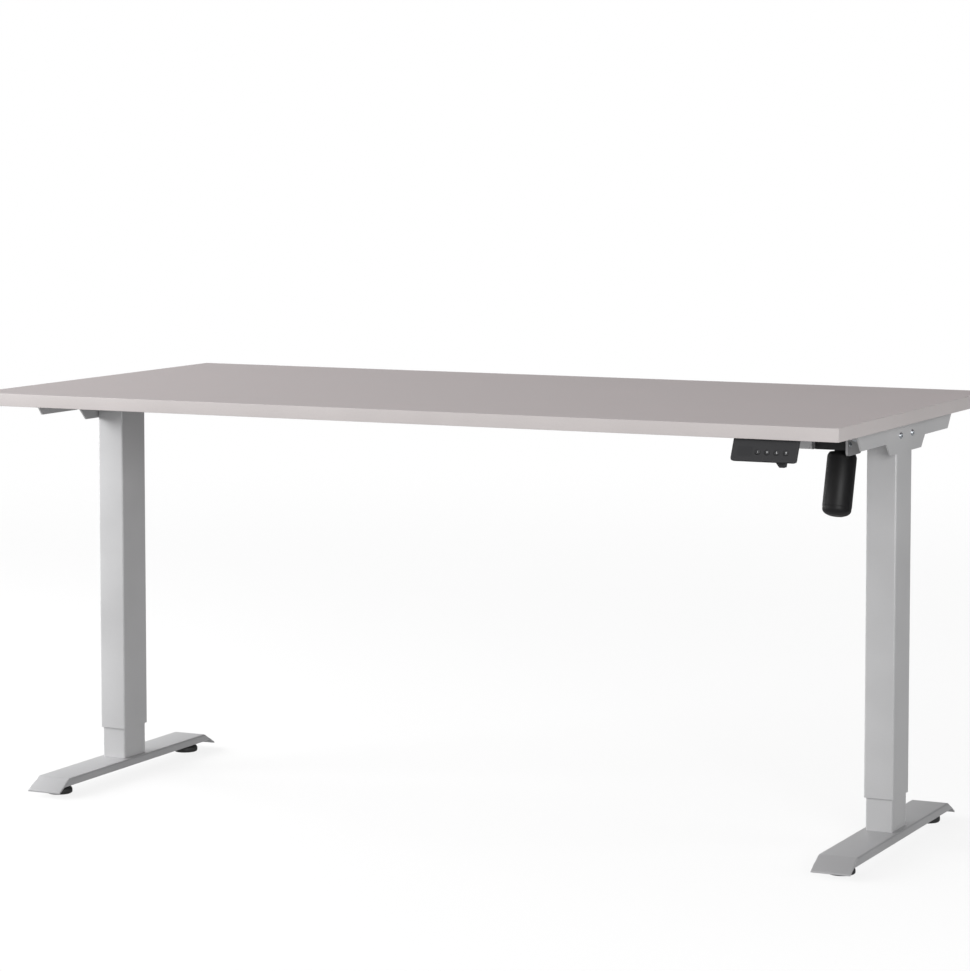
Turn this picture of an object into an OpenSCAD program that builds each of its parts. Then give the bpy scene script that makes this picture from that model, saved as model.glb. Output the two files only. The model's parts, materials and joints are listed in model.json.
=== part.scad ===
// Height adjustable desk: a board on two telescopic columns, raised by one motor
// whose cross shaft turns the lifting screw of both columns through bevel gears.
// The origin is on the floor under the middle of the desk. +X is the right-hand
// end, the user sits on the -Y side, and +Z is up.

/* [Desktop] */
// Width of the desktop
desk_w = 1600; // [1500:10:1800]
// Depth of the desktop
desk_d = 800; // [700:10:900]
// Thickness of the desktop
board_t = 22; // [20:1:25]
// Height of the desktop's surface as the desk stands
desk_h = 740; // [735:1:760]
// Thickness of the plastic edge band
band_t = 2; // [1:0.5:3]

/* [Columns] */
// Distance from the end of the desktop to the middle of a column
column_inset = 52; // [50:1:80]
// Width of the outer tube, along X
outer_w = 52; // [52:1:56]
// Depth of the outer tube, along Y
outer_d = 80; // [80:1:84]
// Width of the inner tube, along X
inner_w = 47; // [46:0.5:47]
// Depth of the inner tube, along Y
inner_d = 73; // [71:0.5:73]
// Wall of both tubes
tube_wall = 1.6; // [1.4:0.1:1.8]
// Corner radius of both tubes
tube_r = 3; // [2.5:0.5:4]
// Height of the outer tube's lower end as the desk stands
outer_bottom = 88; // [80:1:100]
// Height of the inner tube's upper end
inner_top = 615; // [600:1:616]

/* [Feet] */
// Length of a foot from tip to tip
foot_len = 549; // [500:1:700]
// Width of a foot
foot_w = 68; // [66:1:80]
// Height of the foot's flat top
foot_top = 32; // [30:1:36]
// Height of the foot's tip
foot_tip = 9; // [7:1:11]
// Angle at which each end slopes down
foot_end_angle = 30; // [26:1:34]
// Depth of the folded lip along each side
foot_lip = 13.5; // [12:0.5:15]
// Thickness of the foot's sheet
foot_sheet = 2.5; // [2:0.5:3]
// Distance from the middle of the foot to a glide
glide_y = 222; // [200:1:225]
// Diameter of a glide's pad
glide_d = 46; // [40:1:48]

/* [Drive] */
// Height of the cross shaft below the desktop's underside
shaft_drop = 26; // [25:0.5:26]
// Width across the flats of the cross shaft
hex_flats = 8; // [7:0.5:8]
// Diameter of the lifting screw
screw_d = 16; // [14:1:18]
// Lean of the motor towards the user, in degrees
motor_lean = 16; // [0:1:18]
// Distance from the middle of the desk to the motor
motor_x = 660; // [658:1:662]
// Diameter of the motor's can
motor_d = 50; // [44:1:52]
// Length of the motor's can
motor_len = 92; // [80:1:100]

/* [Handset] */
// Width of the handset
handset_w = 110; // [100:1:120]
// Height of the handset below the desktop's underside
handset_h = 35; // [34:1:38]
// Distance from the middle of the desk to the middle of the handset
handset_x = 679.5; // [500:0.5:690]
// Diameter of a button
button_d = 9; // [8:0.5:10]
// Distance between two buttons
button_pitch = 15.7; // [13:0.1:16]

/* [Hidden] */
$fn = 48;

// A hair's breadth that makes cutters pass right through a face
cut = 1;
// Gap between surfaces that slide past each other
gap = 0.3;
// Radial clearance of a turning fit
run = 0.05;

under_z = desk_h - board_t;
column_x = desk_w / 2 - column_inset;
shaft_z = under_z - shaft_drop;

// Side bracket: a folded sheet whose outer wall steps down round the column
bracket_t = 3;
bracket_half = 250;
bracket_arm = 225;
bracket_arm_drop = 30;
bracket_deep_half = 80;
bracket_deep_drop = 50;
bracket_step = 20;
bracket_wall_x = column_x + outer_w / 2;
bracket_outer_x = bracket_wall_x + bracket_t;
bracket_arm_w = 42;
bracket_inner_x = bracket_wall_x - 82;
sheet_z = under_z - bracket_t;

// Cross rails: a pair of tubes that telescope in a pair of sleeves
rail_y = 60;
rail_w = 30;
rail_h = 25;
rail_wall = 2;
rail_fit = 0.5;
sleeve_w = rail_w + 2 * (rail_fit + rail_wall);
sleeve_h = rail_h + 2 * (rail_fit + rail_wall);
rail_mid_z = sheet_z - rail_h / 2;
rail_outer_x = column_x - outer_w / 2 - 2;
rail_inner_x = 300;
sleeve_half = 360;
rail_bolt_x = bracket_inner_x + 14;
sleeve_bolt_x = sleeve_half - 20;
motor_bolt_x = 652;

// M6 button-head screws of the frame
m6_r = 3;
m6_head_r = 5.5;
m6_head_h = 3.3;
m6_hole_r = 3.2;
column_bolt_y = 30;
column_bolt_z = under_z - 21;
column_bolt_len = 16;

// Wood screws that hold the frame and the boxes to the desktop
wood_r = 2.5;
wood_head_r = 5;
wood_head_h = 3;
wood_deep = 14;
bracket_screw_x = bracket_outer_x - 22;
bracket_screw_ys = [-230, -150, 150, 230];

// Bevel gears: equal pairs, teeth pointing at the crossing of the two axes
bevel_teeth = 16;
bevel_r = 11;
bevel_inner = 6;
bevel_tip = 1;
bevel_root = 1.3;
hub_r = 9;
hub_end = 23.9;
journal_r = 4;
bearing_r = 14;
bearing_bore_r = 5;
bearing_h = 8;
bearing_top = 18;
housing_low = bearing_top + bearing_h;
housing_high = shaft_drop - bracket_t - 0.5;
housing_half_x = outer_w / 2 - tube_wall - 0.2;
housing_half_y = outer_d / 2 - tube_wall - 0.4;
bevel_room = 13;

// Worm drive in the motor's gear case
worm_module = 1.25;
wheel_teeth = 30;
wheel_r = worm_module * wheel_teeth / 2;
worm_r = 6.25;
worm_lead = PI * worm_module;
tooth_out = 1.1;
tooth_in = 1.4;
wheel_face = 8;
worm_half = 7;
worm_turns = 2 * worm_half / worm_lead;
worm_step = wheel_r + worm_r;
thread_share = 0.32;
hex_r = hex_flats / sqrt(3);
case_x0 = motor_x - 34;
case_x1 = motor_x + 14;
cover_x1 = motor_x + 22;
case_y0 = -25;
case_y1 = 37;
case_z0 = shaft_z - 24.5;
case_z1 = sheet_z - 0.5;
neck_end = 28;
neck_r = 14;
motor_cap = 15;
cheek_t = 4;
m5_r = 2.5;
motor_screw_yz = [[-20, -15], [33, -21]];

// Parts that the inner tube carries
nut_h = 30;
guide_h = 38;
lower_guide_h = 40;
plug_h = 8;
m8_r = 4;
foot_bolt_x = 14;
foot_bolt_y = 24;

// Glide
glide_stem_top = foot_top - foot_sheet - 1;
// The lips end where the underside of each sloping end comes down to their lower edge
foot_lip_z = foot_top - foot_lip;
foot_lip_end = foot_len / 2 - (foot_lip_z - foot_tip) / tan(foot_end_angle);
glide_nut_h = 9;

// Handset: the face leans back, so that it looks up at the user
handset_lean = 26;
handset_front_y = -desk_d / 2 - 12;
handset_back_y = handset_front_y + 77;
handset_rear_h = 18;
handset_top_y = handset_front_y + handset_h * tan(handset_lean);
button_z = under_z - 19.5;
button_y = handset_front_y + (handset_h - 19.5) * tan(handset_lean);
first_button_x = handset_x - 11.5;
button_proud = 0.9;
panel_t = 1;
panel_w = handset_w - 8;
panel_low = -12;
panel_high = 18;
// The case narrows behind its face by this angle on each side
handset_taper = 27;
handset_straight = 3;
handset_ear_x = 14;

// Control box behind the front rail, out of sight of the user
box_x0 = 170;
box_w = 250;
box_y0 = 100;
box_d = 95;
box_h = 42;
box_wall = 2.5;

steel_grey = [0.78, 0.78, 0.77];
board_grey = [0.77, 0.76, 0.75];
zinc = [0.7, 0.72, 0.74];
black_plastic = [0.12, 0.12, 0.13];

// A rectangle with rounded corners, centred on the origin
module rounded_rect(w, d, r) {
    square([w - 2 * r, d], center = true);
    square([w, d - 2 * r], center = true);
    for (sx = [-1, 1], sy = [-1, 1])
        translate([sx * (w / 2 - r), sy * (d / 2 - r)]) circle(r);
}

// An upright rectangular tube from height z0 to z1
module tube(w, d, wall, r, z0, z1) {
    translate([0, 0, z0]) linear_extrude(z1 - z0) difference() {
        rounded_rect(w, d, r);
        rounded_rect(w - 2 * wall, d - 2 * wall, max(r - wall, 0.4));
    }
}

// A box given by two opposite corners
module block(low, high) {
    translate(low) cube(high - low);
}

// A cylinder along X from x0 to x1, centred at y, z
module along_x(x0, x1, r, y = 0, z = 0) {
    translate([x0, y, z]) rotate([0, 90, 0]) cylinder(h = x1 - x0, r = r);
}

// A hexagonal bar along X, with its corners up and down
module hex_along_x(x0, x1) {
    translate([x0, 0, 0]) rotate([0, 90, 0]) cylinder(h = x1 - x0, r = hex_r, $fn = 6);
}

// Positions of the wood screws in the side brackets
module at_bracket_screws(side) {
    for (y = bracket_screw_ys)
        translate([side * bracket_screw_x, y, 0]) children();
}

// Positions of the other wood screws: handset and control box
module at_box_screws() {
    for (sx = [-1, 1])
        translate([handset_x + sx * handset_ear_x, handset_back_y + 6, 0]) children();
    for (x = [box_x0 + 12, box_x0 + box_w - 12], y = [box_y0 - 6, box_y0 + box_d + 6])
        translate([x, y, 0]) children();
}

// ---------- Desktop ----------

module desktop_board() {
    color(board_grey) difference() {
        block([-desk_w / 2 + band_t, -desk_d / 2 + band_t, under_z],
              [desk_w / 2 - band_t, desk_d / 2 - band_t, desk_h]);
        for (side = [-1, 1]) at_bracket_screws(side) pilot();
        at_box_screws() pilot();
    }
}

// Pilot hole of a wood screw in the desktop
module pilot() {
    translate([0, 0, under_z - cut]) cylinder(h = wood_deep + cut, r = wood_r);
}

module desktop_edge_band() {
    color(board_grey) {
        for (s = [-1, 1]) {
            translate([0, s * (desk_d - band_t) / 2, (under_z + desk_h) / 2])
                cube([desk_w, band_t, board_t], center = true);
            translate([s * (desk_w - band_t) / 2, 0, (under_z + desk_h) / 2])
                cube([band_t, desk_d - 2 * band_t, board_t], center = true);
        }
    }
}

// A wood screw with its head's upper face at height z
module wood_screw(z) {
    translate([0, 0, z - wood_head_h]) cylinder(h = wood_head_h, r = wood_head_r);
    translate([0, 0, z]) cylinder(h = under_z + wood_deep - z, r = wood_r);
}

module desktop_screws() {
    color(zinc) {
        for (side = [-1, 1]) at_bracket_screws(side) wood_screw(sheet_z);
        at_box_screws() wood_screw(sheet_z);
    }
}

// ---------- Frame under the desktop ----------

// The stepped outline of the bracket's outer wall, in Y and Z
module bracket_outline() {
    polygon([
        [-bracket_half, under_z], [-bracket_arm, under_z - bracket_arm_drop],
        [-bracket_deep_half - bracket_step, under_z - bracket_arm_drop],
        [-bracket_deep_half, under_z - bracket_deep_drop],
        [bracket_deep_half, under_z - bracket_deep_drop],
        [bracket_deep_half + bracket_step, under_z - bracket_arm_drop],
        [bracket_arm, under_z - bracket_arm_drop], [bracket_half, under_z]
    ]);
}

module side_bracket(side) {
    color(steel_grey) difference() {
        mirror([side < 0 ? 1 : 0, 0, 0]) {
            translate([bracket_wall_x, 0, 0]) rotate([90, 0, 90])
                linear_extrude(bracket_t) bracket_outline();
            translate([0, 0, sheet_z]) linear_extrude(bracket_t) polygon([
                [bracket_wall_x, -bracket_half + 3], [bracket_outer_x - bracket_arm_w, -bracket_half + 3],
                [bracket_outer_x - bracket_arm_w, -120], [bracket_inner_x, -90],
                [bracket_inner_x, 90], [bracket_outer_x - bracket_arm_w, 120],
                [bracket_outer_x - bracket_arm_w, bracket_half - 3], [bracket_wall_x, bracket_half - 3]
            ]);
        }
        for (y = [-column_bolt_y, column_bolt_y])
            along_x(side * bracket_wall_x - 10, side * bracket_wall_x + 10, m6_hole_r, y, column_bolt_z);
        at_bracket_screws(side)
            translate([0, 0, sheet_z - cut]) cylinder(h = bracket_t + 2 * cut, r = wood_r + 0.2);
        for (y = [-rail_y, rail_y])
            translate([side * rail_bolt_x, y, sheet_z - cut]) cylinder(h = bracket_t + 2 * cut, r = m6_r);
    }
}

// Tube along X with a rectangular section, centred on the rails' axis
module rail_tube(x0, x1, w, h) {
    translate([x0, 0, rail_mid_z]) rotate([90, 0, 90]) linear_extrude(x1 - x0) difference() {
        rounded_rect(w, h, 2.5);
        rounded_rect(w - 2 * rail_wall, h - 2 * rail_wall, 0.8);
    }
}

// Clearance holes for an upright M6 screw through a rail
module rail_hole(x, y, up) {
    translate([x, y, rail_mid_z - 20]) cylinder(h = up, r = m6_hole_r);
}

module rail_sleeve(y) {
    color(steel_grey) difference() {
        translate([0, y, 0]) rail_tube(-sleeve_half, sleeve_half, sleeve_w, sleeve_h);
        for (x = [-sleeve_bolt_x, sleeve_bolt_x]) rail_hole(x, y, 15);
    }
}

module side_rails(side) {
    color(steel_grey) for (y = [-rail_y, rail_y]) difference() {
        translate([0, y, 0])
            rail_tube(side < 0 ? -rail_outer_x : rail_inner_x,
                      side < 0 ? -rail_inner_x : rail_outer_x, rail_w, rail_h);
        rail_hole(side * rail_bolt_x, y, 40);
        rail_hole(side * sleeve_bolt_x, y, 15);
        if (side > 0) rail_hole(motor_bolt_x, y, 40);
    }
}

// An M6 screw pointing up, with its head's upper face at height z
module m6_up(x, y, z, len) {
    translate([x, y, z - m6_head_h]) cylinder(h = m6_head_h, r1 = m6_head_r - 2, r2 = m6_head_r);
    translate([x, y, z]) cylinder(h = len, r = m6_r);
}

module frame_screws() {
    rail_low = rail_mid_z - rail_h / 2;
    sleeve_low = rail_mid_z - sleeve_h / 2;
    color(zinc) {
        for (side = [-1, 1], y = [-column_bolt_y, column_bolt_y])
            mirror([side < 0 ? 1 : 0, 0, 0]) {
                along_x(bracket_outer_x - column_bolt_len, bracket_outer_x, m6_r, y, column_bolt_z);
                translate([bracket_outer_x, y, column_bolt_z]) rotate([0, 90, 0])
                    cylinder(h = m6_head_h, r1 = m6_head_r, r2 = m6_head_r - 2);
            }
        for (y = [-rail_y, rail_y]) {
            for (side = [-1, 1]) {
                m6_up(side * rail_bolt_x, y, rail_low, rail_h + bracket_t);
                m6_up(side * sleeve_bolt_x, y, sleeve_low, rail_fit + 2 * rail_wall + 1);
            }
            m6_up(motor_bolt_x, y, rail_low, rail_h + bracket_t);
        }
    }
}

// ---------- Columns ----------

module outer_tube(side) {
    color(steel_grey) difference() {
        translate([side * column_x, 0, 0])
            tube(outer_w, outer_d, tube_wall, tube_r, outer_bottom, sheet_z);
        // Hole for the cross shaft, on the side that faces the middle of the desk
        along_x(side * column_x - side * outer_w / 2 - 4, side * column_x - side * outer_w / 2 + 4,
                8, 0, shaft_z);
        for (y = [-column_bolt_y, column_bolt_y])
            along_x(side * bracket_wall_x - 4, side * bracket_wall_x + 4, m6_hole_r, y, column_bolt_z);
    }
}

// Liner at the outer tube's lower end, in which the inner tube slides
module lower_guide(side) {
    color(black_plastic) translate([side * column_x, 0, outer_bottom + 2]) linear_extrude(lower_guide_h)
        difference() {
            rounded_rect(outer_w - 2 * tube_wall, outer_d - 2 * tube_wall, tube_r - tube_wall);
            rounded_rect(inner_w + 2 * gap, inner_d + 2 * gap, tube_r + gap);
        }
}

module inner_tube(side) {
    color(steel_grey) translate([side * column_x, 0, 0])
        tube(inner_w, inner_d, tube_wall, tube_r, foot_top, inner_top);
}

// Collar round the inner tube's upper end, which slides in the outer tube
module upper_guide(side) {
    color(black_plastic) translate([side * column_x, 0, inner_top - guide_h]) linear_extrude(guide_h)
        difference() {
            rounded_rect(outer_w - 2 * tube_wall - 2 * gap, outer_d - 2 * tube_wall - 2 * gap,
                         tube_r - tube_wall);
            rounded_rect(inner_w, inner_d, tube_r);
        }
}

// ---------- Lifting screws and bevel gears ----------

module gear_housing(side) {
    color("dimgray") translate([side * column_x, 0, shaft_z]) difference() {
        translate([0, 0, -housing_low]) linear_extrude(housing_low + housing_high)
            rounded_rect(2 * housing_half_x, 2 * housing_half_y, tube_r - tube_wall);
        translate([0, 0, -housing_low - cut]) cylinder(h = bearing_h + cut, r = bearing_r);
        translate([0, 0, -bearing_top - cut]) cylinder(h = bearing_top + cut + 8, r = bevel_room);
        along_x(0, bevel_r + 6, bevel_room);
        along_x(0, housing_half_x + cut, hub_r + run);
        if (side > 0) along_x(-housing_half_x - cut, 0, hex_r + 1.5);
        for (y = [-column_bolt_y, column_bolt_y])
            along_x(side > 0 ? housing_half_x - 12 : -housing_half_x - cut,
                    side > 0 ? housing_half_x + cut : -housing_half_x + 12, m6_r, y, column_bolt_z - shaft_z);
    }
}

// Ball bearing that carries the lifting screw: two rings and their balls
module screw_bearing(side) {
    ball_r = 1.95;
    ball_ring = 9.5;
    color("silver") translate([side * column_x, 0, shaft_z - housing_low]) {
        difference() {
            cylinder(h = bearing_h, r = bearing_r);
            translate([0, 0, -cut]) cylinder(h = bearing_h + 2 * cut, r = ball_ring + 2);
        }
        difference() {
            cylinder(h = bearing_h, r = ball_ring - 2);
            translate([0, 0, -cut]) cylinder(h = bearing_h + 2 * cut, r = bearing_bore_r + run);
        }
        for (i = [0:7])
            rotate(i * 45) translate([ball_ring, 0, bearing_h / 2]) sphere(r = ball_r, $fn = 24);
    }
}

// Teeth of a bevel gear at its large end, for a tooth centred on the angle 0
function bevel_tooth(i) = [
    for (p = [[-6.2, -bevel_root], [-2.6, bevel_tip], [2.6, bevel_tip], [6.2, -bevel_root]])
        let (a = i * 360 / bevel_teeth + p[0])
        (bevel_r + p[1]) * [cos(a), sin(a)]
];

// A bevel gear on the Z axis whose cone points up at the origin
module bevel_gear(bore_r, bore_fn, hub_to, turn) {
    difference() {
        union() {
            translate([0, 0, -bevel_r]) rotate(turn)
                linear_extrude(bevel_r - bevel_inner, scale = bevel_inner / bevel_r)
                    polygon([for (i = [0:bevel_teeth - 1]) each bevel_tooth(i)]);
            translate([0, 0, -hub_to]) cylinder(h = hub_to - bevel_r, r = hub_r);
        }
        translate([0, 0, -hub_to - cut]) cylinder(h = hub_to, r = bore_r, $fn = bore_fn);
    }
}

module screw_gear(side) {
    color("goldenrod") translate([side * column_x, 0, shaft_z])
        bevel_gear(journal_r, 48, bearing_top - gap, 0);
}

// Bevel gear on the cross shaft, turned half a tooth so that it is in mesh
module shaft_gear(side) {
    color("goldenrod") translate([side * column_x, 0, shaft_z]) rotate([0, -90, 0])
        bevel_gear(hex_r, 6, hub_end, 180 / bevel_teeth);
}

module lift_screw(side) {
    low = outer_bottom + 2;
    top = shaft_z - housing_low - gap;
    color("lightsteelblue") translate([side * column_x, 0, 0]) {
        translate([0, 0, low]) cylinder(h = top - low, r = screw_d / 2);
        translate([0, 0, top]) cylinder(h = bearing_h + 2 * gap, r = bearing_bore_r);
        translate([0, 0, top + bearing_h + 2 * gap])
            cylinder(h = shaft_z - 5.5 - top - bearing_h - 2 * gap, r = journal_r);
    }
}

module lift_nut(side) {
    color("ivory") translate([side * column_x, 0, inner_top - 2 - nut_h]) difference() {
        linear_extrude(nut_h)
            rounded_rect(inner_w - 2 * tube_wall, inner_d - 2 * tube_wall, tube_r - tube_wall);
        translate([0, 0, -cut]) cylinder(h = nut_h + 2 * cut, r = screw_d / 2 + run);
    }
}

module drive_shaft() {
    color("lightsteelblue") translate([0, 0, shaft_z])
        hex_along_x(-column_x + bevel_inner, column_x + hub_end - 1);
}

// ---------- Motor and worm drive ----------

// Places its children on the worm's axis, +Z up along it, level with the shaft
module on_worm_axis() {
    translate([motor_x, 0, shaft_z]) rotate([-motor_lean, 0, 0]) translate([0, worm_step, 0]) children();
}

module worm_wheel() {
    pitch_angle = 360 / wheel_teeth;
    half_root = pitch_angle * 0.24;
    half_tip = pitch_angle * 0.11;
    color("ivory") translate([motor_x, 0, shaft_z]) difference() {
        union() {
            translate([-wheel_face / 2, 0, 0]) rotate([90, 0, 90])
                rotate(-motor_lean + pitch_angle / 2) linear_extrude(wheel_face)
                    polygon([for (i = [0:wheel_teeth - 1], p = [[-half_root, -tooth_in], [-half_tip, tooth_out],
                                                                [half_tip, tooth_out], [half_root, -tooth_in]])
                        (wheel_r + p[1]) * [cos(i * pitch_angle + p[0]), sin(i * pitch_angle + p[0])]]);
            along_x(-20, 20, hub_r);
        }
        hex_along_x(-21, 21);
    }
}

module motor_worm() {
    share = 360 * thread_share;
    // The thread faces a gap of the wheel where the two pitch circles touch
    start = 270 - 360 * worm_half / worm_lead;
    color("silver") on_worm_axis() {
        translate([0, 0, -worm_half]) linear_extrude(2 * worm_half, twist = -360 * worm_turns,
                                                     slices = round(worm_turns * 12)) {
            circle(worm_r - tooth_in, $fn = 13);
            polygon(concat([[0, 0]], [for (k = [0:4]) (worm_r + tooth_out)
                * [cos(share * (k / 4 - 0.5) + start), sin(share * (k / 4 - 0.5) + start)]]));
        }
        translate([0, 0, worm_half]) cylinder(h = 6, r = journal_r);
        translate([0, 0, -neck_end - 8]) cylinder(h = neck_end + 8 - worm_half, r = journal_r);
    }
}

// Room for the wheel, the worm and their bearings
module worm_room() {
    translate([0, 0, shaft_z]) {
        along_x(case_x0 - cut, case_x1 + cut, hub_r + run);
        along_x(motor_x - 12, case_x1 + cut, wheel_r + tooth_out + 0.7);
    }
    on_worm_axis() {
        translate([0, 0, -worm_half - 2]) cylinder(h = 2 * worm_half + 3, r = worm_r + tooth_out + 0.8);
        translate([0, 0, worm_half]) cylinder(h = 7, r = journal_r + run);
        translate([0, 0, -neck_end - cut]) cylinder(h = neck_end, r = journal_r + 1);
    }
}

module motor_gear_case() {
    color(black_plastic) difference() {
        union() {
            block([case_x0, case_y0, case_z0], [case_x1, case_y1, case_z1]);
            on_worm_axis() translate([0, 0, -neck_end]) cylinder(h = neck_end, r = neck_r);
        }
        worm_room();
        motor_screw_holes();
    }
}

module motor_gear_cover() {
    color(black_plastic) difference() {
        block([case_x1, case_y0, case_z0], [cover_x1, case_y1, case_z1]);
        translate([motor_x, 0, shaft_z]) along_x(0, 40, hub_r + run);
        motor_screw_holes();
    }
}

// Blind holes of the screws that clamp the gear case between its cheeks
module motor_screw_holes() {
    for (p = motor_screw_yz) {
        along_x(case_x0 - cut, case_x0 + 12, m5_r, p[0], shaft_z + p[1]);
        along_x(cover_x1 - 14, cover_x1 + cut, m5_r, p[0], shaft_z + p[1]);
    }
}

module motor_screws() {
    color(zinc) for (p = motor_screw_yz) {
        along_x(case_x0 - cheek_t, case_x0 + 12, m5_r, p[0], shaft_z + p[1]);
        along_x(case_x0 - cheek_t - 2.5, case_x0 - cheek_t, 4.5, p[0], shaft_z + p[1]);
        along_x(cover_x1 - 14, cover_x1 + cheek_t, m5_r, p[0], shaft_z + p[1]);
        along_x(cover_x1 + cheek_t, cover_x1 + cheek_t + 2.5, 4.5, p[0], shaft_z + p[1]);
    }
}

// One hanging cheek of the motor's bracket, with rounded lower corners
module cheek(x0, y0, y1, z0) {
    translate([x0, 0, 0]) rotate([90, 0, 90]) linear_extrude(cheek_t) {
        translate([(y0 + y1) / 2, (z0 + sheet_z) / 2]) rounded_rect(y1 - y0, sheet_z - z0, 8);
        translate([y0, sheet_z - 12]) square([y1 - y0, 12]);
    }
}

module motor_bracket() {
    color(steel_grey) difference() {
        union() {
            block([case_x0 - cheek_t, -rail_y - rail_w / 2, sheet_z],
                  [cover_x1 + cheek_t, rail_y + rail_w / 2, under_z]);
            cheek(case_x0 - cheek_t, -42, case_y1 + 1, shaft_z - 24);
            cheek(cover_x1, -31, case_y1 + 1, shaft_z - 34);
            // Stiffening flange that faces the user
            block([case_x0 - cheek_t - 24, -42, shaft_z - 23], [case_x0 - cheek_t, -39, sheet_z - 2]);
        }
        along_x(case_x0 - 40, cover_x1 + 20, hub_r + 1, 0, shaft_z);
        for (p = motor_screw_yz)
            along_x(case_x0 - 20, cover_x1 + 20, m5_r, p[0], shaft_z + p[1]);
        for (y = [-rail_y, rail_y])
            translate([motor_bolt_x, y, sheet_z - cut]) cylinder(h = bracket_t + 2 * cut, r = m6_r);
    }
}

module motor_can() {
    color(black_plastic) on_worm_axis() difference() {
        union() {
            translate([0, 0, -neck_end - 6]) cylinder(h = 6, r1 = motor_d / 2, r2 = motor_d / 2 - 3);
            translate([0, 0, -neck_end - motor_len]) cylinder(h = motor_len - 6, r = motor_d / 2);
        }
        translate([0, 0, -neck_end - 9]) cylinder(h = 9 + cut, r = journal_r + run);
    }
}

module motor_end_cap() {
    color(black_plastic) on_worm_axis() translate([0, 0, -neck_end - motor_len - motor_cap]) {
        translate([0, 0, 8]) cylinder(h = motor_cap - 8, r = motor_d / 2 - 0.5);
        translate([0, 0, 3]) cylinder(h = 5, r1 = motor_d / 2 - 5, r2 = motor_d / 2 - 0.5);
        cylinder(h = 3, r1 = motor_d / 2 - 13, r2 = motor_d / 2 - 5);
    }
}

// ---------- Handset ----------

// Places its children on the handset's face: -Y out of the face, Z up along it
module on_face(x) {
    translate([x, button_y, button_z]) rotate([-handset_lean, 0, 0]) children();
}

// Side view of the handset's case, in Y and Z
module handset_profile() {
    polygon([
        [handset_top_y, under_z], [handset_front_y + 2.4, under_z - handset_h + 5],
        [handset_front_y + 1.2, under_z - handset_h + 2], [handset_front_y + 4, under_z - handset_h],
        [handset_back_y - 4, under_z - handset_rear_h], [handset_back_y, under_z - handset_rear_h + 4],
        [handset_back_y, under_z]
    ]);
}

// The case's outline across its face: straight at first, then narrowing to the rear
module handset_wedge() {
    rear = 90;
    half = handset_w / 2;
    rear_half = half - (rear - handset_straight) * tan(handset_taper);
    on_face(handset_x) translate([0, 0, -60]) linear_extrude(140) polygon([
        [-half, -20], [half, -20], [half, handset_straight], [rear_half, rear],
        [-rear_half, rear], [-half, handset_straight]
    ]);
}

module handset_case() {
    color(black_plastic) difference() {
        union() {
            intersection() {
                handset_wedge();
                translate([handset_x - handset_w / 2, 0, 0]) rotate([90, 0, 90])
                    linear_extrude(handset_w) handset_profile();
                translate([handset_x, 0, under_z]) rotate([90, 0, 0])
                    linear_extrude(2 * desk_d, center = true)
                        rounded_rect(handset_w, 2 * handset_h, 6);
            }
            // Two ears by which the case is screwed up under the desktop
            for (s = [-1, 1])
                block([handset_x + s * handset_ear_x - 8, handset_back_y - 2, sheet_z],
                      [handset_x + s * handset_ear_x + 8, handset_back_y + 14, under_z]);
        }
        on_face(handset_x) {
            translate([-panel_w / 2, -cut, panel_low]) cube([panel_w, panel_t + cut, panel_high - panel_low]);
            translate([-panel_w / 2 + 3, 0, panel_low + 3]) cube([panel_w - 6, 7, panel_high - panel_low - 5]);
        }
        at_box_screws() translate([0, 0, sheet_z - cut]) cylinder(h = 5, r = wood_r + 0.2);
    }
}

// Smooth dark front panel: a display window on the left, four button holes on the right
module handset_panel() {
    color([0.05, 0.05, 0.06]) difference() {
        on_face(handset_x) translate([-panel_w / 2, 0, panel_low])
            cube([panel_w, panel_t, panel_high - panel_low]);
        for (i = [0:3])
            on_face(first_button_x + i * button_pitch) rotate([90, 0, 0])
                cylinder(h = 10, r = button_d / 2 + gap, center = true);
    }
}

// Hood of the socket for the handset's lead, under the case
module handset_socket() {
    color(black_plastic) difference() {
        translate([0, handset_front_y + 26, 0]) rotate([90, 0, 0]) linear_extrude(12)
            polygon([[first_button_x + 27, under_z - 22], [first_button_x + 27, under_z - handset_h],
                     [first_button_x + 33.5, under_z - handset_h - 8.5],
                     [first_button_x + 42, under_z - handset_h - 8.5],
                     [first_button_x + 43.5, under_z - handset_h], [first_button_x + 43.5, under_z - 22]]);
        translate([handset_x - handset_w / 2, 0, 0]) rotate([90, 0, 90])
            linear_extrude(handset_w) handset_profile();
        // Mouth of the socket, open to the rear
        block([first_button_x + 34.5, handset_front_y + 18, under_z - handset_h - 6],
              [first_button_x + 41, handset_front_y + 28, under_z - handset_h + 1]);
    }
}

// A round button with a collar behind the panel
module button(i) {
    color("gray") on_face(first_button_x + i * button_pitch) rotate([-90, 0, 0]) {
        translate([0, 0, -button_proud]) cylinder(h = button_proud + 5, r = button_d / 2);
        translate([0, 0, panel_t + gap]) cylinder(h = 1, r = button_d / 2 + 1);
    }
}

// ---------- Control box ----------

module control_box_base() {
    color("dimgray") difference() {
        union() {
            block([box_x0, box_y0, under_z - box_h + 4], [box_x0 + box_w, box_y0 + box_d, under_z]);
            for (x = [box_x0 + 12, box_x0 + box_w - 12])
                block([x - 8, box_y0 - 12, sheet_z], [x + 8, box_y0 + box_d + 12, under_z]);
        }
        block([box_x0 + box_wall, box_y0 + box_wall, under_z - box_h],
              [box_x0 + box_w - box_wall, box_y0 + box_d - box_wall, under_z - box_wall]);
        block([box_x0 + box_w - 2 * box_wall, box_y0 + 20, under_z - 31],
              [box_x0 + box_w + cut, box_y0 + 49, under_z - 9]);
        at_box_screws() translate([0, 0, sheet_z - cut]) cylinder(h = 5, r = wood_r + 0.2);
    }
}

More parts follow.
